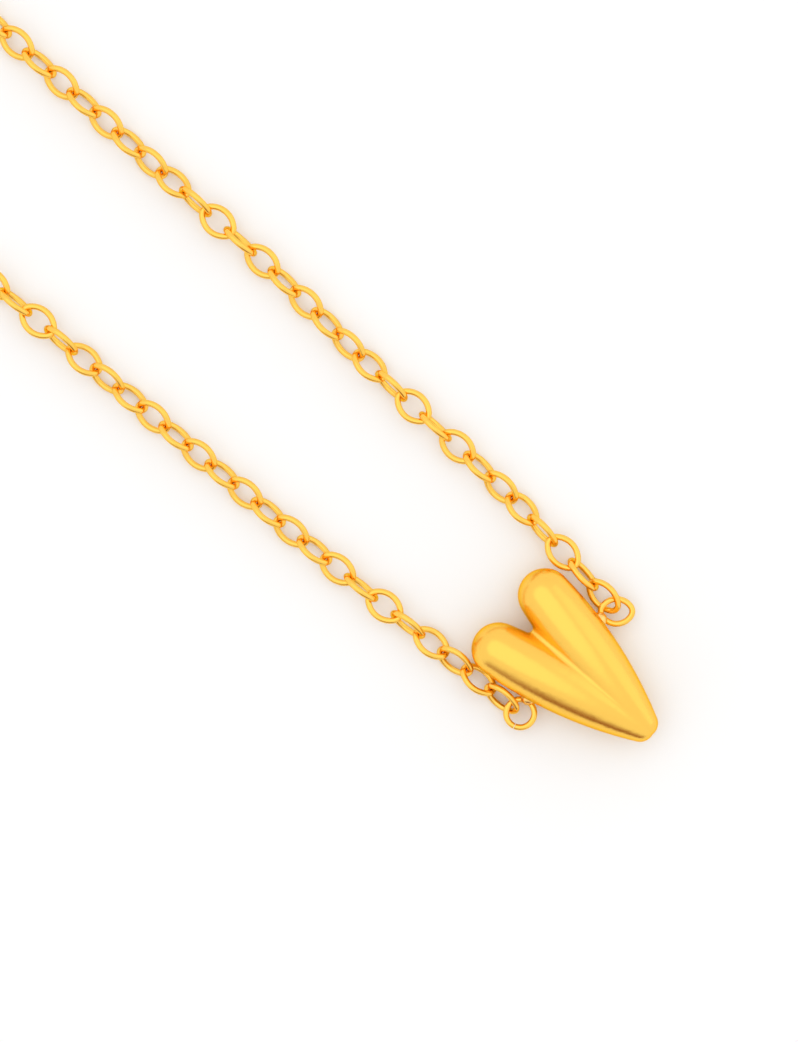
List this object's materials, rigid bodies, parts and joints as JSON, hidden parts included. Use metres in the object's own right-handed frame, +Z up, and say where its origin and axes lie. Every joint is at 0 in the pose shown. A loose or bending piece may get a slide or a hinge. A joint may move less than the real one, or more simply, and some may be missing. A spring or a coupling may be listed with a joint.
{
  "type": "pendant necklace",
  "caption": "Puffed heart pendant with soldered side rings on a fine cable chain, laid out flat with its lobster clasp unfastened.",
  "frame": {"origin": "under the middle of the laid-out necklace, on the surface it lies on", "axes": "+Z up, out of the heart's face; +Y from the heart's tip along the strands to the clasp; +X to the right strand"},
  "size_m": [0.1153, 0.14, 0.0033],
  "materials": {
    "heart": "polished gold",
    "wire": "polished gold wire",
    "solder": "bright gold solder",
    "clasp": "polished gold casting",
    "spring": "drawn spring wire"
  },
  "bodies": {
    "pendant": {"heart": "heart", "left_ring": "wire", "right_ring": "wire", "left_solder": "solder", "right_solder": "solder"},
    "left_chain_01": {"left_chain_01": "wire"},
    "left_chain_02": {"left_chain_02": "wire"},
    "left_chain_03": {"left_chain_03": "wire"},
    "left_chain_04": {"left_chain_04": "wire"},
    "left_chain_05": {"left_chain_05": "wire"},
    "left_chain_06": {"left_chain_06": "wire"},
    "left_chain_07": {"left_chain_07": "wire"},
    "left_chain_08": {"left_chain_08": "wire"},
    "left_chain_09": {"left_chain_09": "wire"},
    "left_chain_10": {"left_chain_10": "wire"},
    "left_chain_11": {"left_chain_11": "wire"},
    "left_chain_12": {"left_chain_12": "wire"},
    "right_chain_01": {"right_chain_01": "wire"},
    "right_chain_02": {"right_chain_02": "wire"},
    "right_chain_03": {"right_chain_03": "wire"},
    "right_chain_04": {"right_chain_04": "wire"},
    "right_chain_05": {"right_chain_05": "wire"},
    "right_chain_06": {"right_chain_06": "wire"},
    "right_chain_07": {"right_chain_07": "wire"},
    "right_chain_08": {"right_chain_08": "wire"},
    "right_chain_09": {"right_chain_09": "wire"},
    "right_chain_10": {"right_chain_10": "wire"},
    "right_chain_11": {"right_chain_11": "wire"},
    "right_chain_12": {"right_chain_12": "wire"},
    "clasp_ring": {"clasp_ring": "wire"},
    "clasp_body": {"clasp_body": "clasp", "clasp_pin": "clasp"},
    "clasp_lever": {"clasp_lever": "clasp", "clasp_spring": "spring"},
    "catch_ring": {"catch_ring": "wire"}
  },
  "joints": [
    {"name": "left_chain_01_hinge", "type": "hinge", "parent": "pendant", "child": "left_chain_01", "pos_m": [-0.00486, -0.06247, 0.00085], "axis": [-1, 0, 0], "range_deg": [-5, 40]},
    {"name": "left_chain_02_hinge", "type": "hinge", "parent": "left_chain_01", "child": "left_chain_02", "pos_m": [-0.00489, -0.06084, 0.00079], "axis": [0.5731, 0.0342, 0.8188], "range_deg": [-5, 40]},
    {"name": "left_chain_03_hinge", "type": "hinge", "parent": "left_chain_02", "child": "left_chain_03", "pos_m": [-0.00496, -0.05908, 0.00077], "axis": [0.7825, 0.0174, -0.6224], "range_deg": [-40, 25]},
    {"name": "left_chain_04_hinge", "type": "hinge", "parent": "left_chain_03", "child": "left_chain_04", "pos_m": [-0.00534, -0.05029, 0.0009], "axis": [-0.2594, 0.012, 0.9657], "range_deg": [-40, 40]},
    {"name": "left_chain_05_hinge", "type": "hinge", "parent": "left_chain_04", "child": "left_chain_05", "pos_m": [-0.00561, -0.03797, 0.00083], "axis": [-0.8399, -0.0129, -0.5425], "range_deg": [-40, 40]},
    {"name": "left_chain_06_hinge", "type": "hinge", "parent": "left_chain_05", "child": "left_chain_06", "pos_m": [-0.00579, -0.02566, 0.00094], "axis": [0.9993, 0.013, -0.0349], "range_deg": [-40, 40]},
    {"name": "left_chain_07_hinge", "type": "hinge", "parent": "left_chain_06", "child": "left_chain_07", "pos_m": [-0.00592, -0.01334, 0.00073], "axis": [-0.7071, -0.0065, 0.7071], "range_deg": [-40, 40]},
    {"name": "left_chain_08_hinge", "type": "hinge", "parent": "left_chain_07", "child": "left_chain_08", "pos_m": [-0.02599, -0.00045, 0.00073], "axis": [-0.1711, -0.6861, -0.7071], "range_deg": [-40, 0]},
    {"name": "left_chain_09_hinge", "type": "hinge", "parent": "left_chain_08", "child": "left_chain_09", "pos_m": [-0.04919, 0.01098, 0.00073], "axis": [0.5153, 0.4842, -0.7071], "range_deg": [-40, 40]},
    {"name": "left_chain_10_hinge", "type": "hinge", "parent": "left_chain_09", "child": "left_chain_10", "pos_m": [-0.05682, 0.03551, 0.00073], "axis": [0.7057, -0.0445, 0.7071], "range_deg": [-40, 40]},
    {"name": "left_chain_11_hinge", "type": "hinge", "parent": "left_chain_10", "child": "left_chain_11", "pos_m": [-0.04491, 0.05834, 0.00073], "axis": [-0.4731, 0.5255, 0.7071], "range_deg": [-40, 40]},
    {"name": "left_chain_12_hinge", "type": "hinge", "parent": "left_chain_11", "child": "left_chain_12", "pos_m": [-0.02042, 0.06666, 0.00099], "axis": [0.0393, -0.7063, 0.7068], "range_deg": [-40, 40]},
    {"name": "right_chain_01_hinge", "type": "hinge", "parent": "pendant", "child": "right_chain_01", "pos_m": [0.00363, -0.06303, 0.00085], "axis": [-0.8139, 0.296, 0.4999], "range_deg": [-40, 40]},
    {"name": "right_chain_02_hinge", "type": "hinge", "parent": "right_chain_01", "child": "right_chain_02", "pos_m": [0.00371, -0.06147, 0.00084], "axis": [-0.775, 0.0608, -0.629], "range_deg": [0, 40]},
    {"name": "right_chain_03_hinge", "type": "hinge", "parent": "right_chain_02", "child": "right_chain_03", "pos_m": [0.00391, -0.05972, 0.00094], "axis": [0.3773, 0.0038, -0.9261], "range_deg": [-30, 35]},
    {"name": "right_chain_04_hinge", "type": "hinge", "parent": "right_chain_03", "child": "right_chain_04", "pos_m": [0.00468, -0.05097, 0.00088], "axis": [0.521, 0.0109, -0.8535], "range_deg": [-40, 40]},
    {"name": "right_chain_05_hinge", "type": "hinge", "parent": "right_chain_04", "child": "right_chain_05", "pos_m": [0.00528, -0.03867, 0.00081], "axis": [0.6156, -0.025, -0.7877], "range_deg": [-40, 40]},
    {"name": "right_chain_06_hinge", "type": "hinge", "parent": "right_chain_05", "child": "right_chain_06", "pos_m": [0.00564, -0.02636, 0.00076], "axis": [0.7979, -0.047, -0.6009], "range_deg": [-40, 40]},
    {"name": "right_chain_07_hinge", "type": "hinge", "parent": "right_chain_06", "child": "right_chain_07", "pos_m": [0.00586, -0.01404, 0.00084], "axis": [0.8659, -0.0156, 0.5], "range_deg": [-40, 40]},
    {"name": "right_chain_08_hinge", "type": "hinge", "parent": "right_chain_07", "child": "right_chain_08", "pos_m": [0.02598, -0.00118, 0.00073], "axis": [-0.1711, 0.6861, 0.7071], "range_deg": [-40, 40]},
    {"name": "right_chain_09_hinge", "type": "hinge", "parent": "right_chain_08", "child": "right_chain_09", "pos_m": [0.04918, 0.01026, 0.00073], "axis": [-0.5153, 0.4842, -0.7071], "range_deg": [-40, 40]},
    {"name": "right_chain_10_hinge", "type": "hinge", "parent": "right_chain_09", "child": "right_chain_10", "pos_m": [0.05681, 0.03478, 0.00073], "axis": [0.7057, 0.0445, -0.7071], "range_deg": [-40, 40]},
    {"name": "right_chain_11_hinge", "type": "hinge", "parent": "right_chain_10", "child": "right_chain_11", "pos_m": [0.04491, 0.05762, 0.00073], "axis": [-0.4731, -0.5255, -0.7071], "range_deg": [-40, 40]},
    {"name": "right_chain_12_hinge", "type": "hinge", "parent": "right_chain_11", "child": "right_chain_12", "pos_m": [0.0204, 0.06594, 0.00085], "axis": [0.0447, 0.7059, -0.7069], "range_deg": [-40, 40]},
    {"name": "clasp_ring_hinge", "type": "hinge", "parent": "left_chain_12", "child": "clasp_ring", "pos_m": [-0.01164, 0.06723, 0.00125], "axis": [0.0579, -0.705, -0.7068], "range_deg": [-40, 40]},
    {"name": "catch_ring_hinge", "type": "hinge", "parent": "right_chain_12", "child": "catch_ring", "pos_m": [0.00459, 0.06676, 0.00119], "axis": [0.0339, 0.7065, 0.7069], "range_deg": [-40, 40]},
    {"name": "clasp_body_hinge", "type": "hinge", "parent": "clasp_ring", "child": "clasp_body", "pos_m": [-0.00975, 0.06733, 0.00125], "axis": [0.0262, -0.4993, 0.866], "range_deg": [-40, 40]},
    {"name": "clasp_lever_hinge", "type": "hinge", "parent": "clasp_body", "child": "clasp_lever", "pos_m": [-0.00618, 0.06842, 0.00122], "axis": [0, 0, 1], "range_deg": [-20, 0], "stiffness_Nm_per_rad": 0.001, "springref_deg": 5.73}
  ]
}
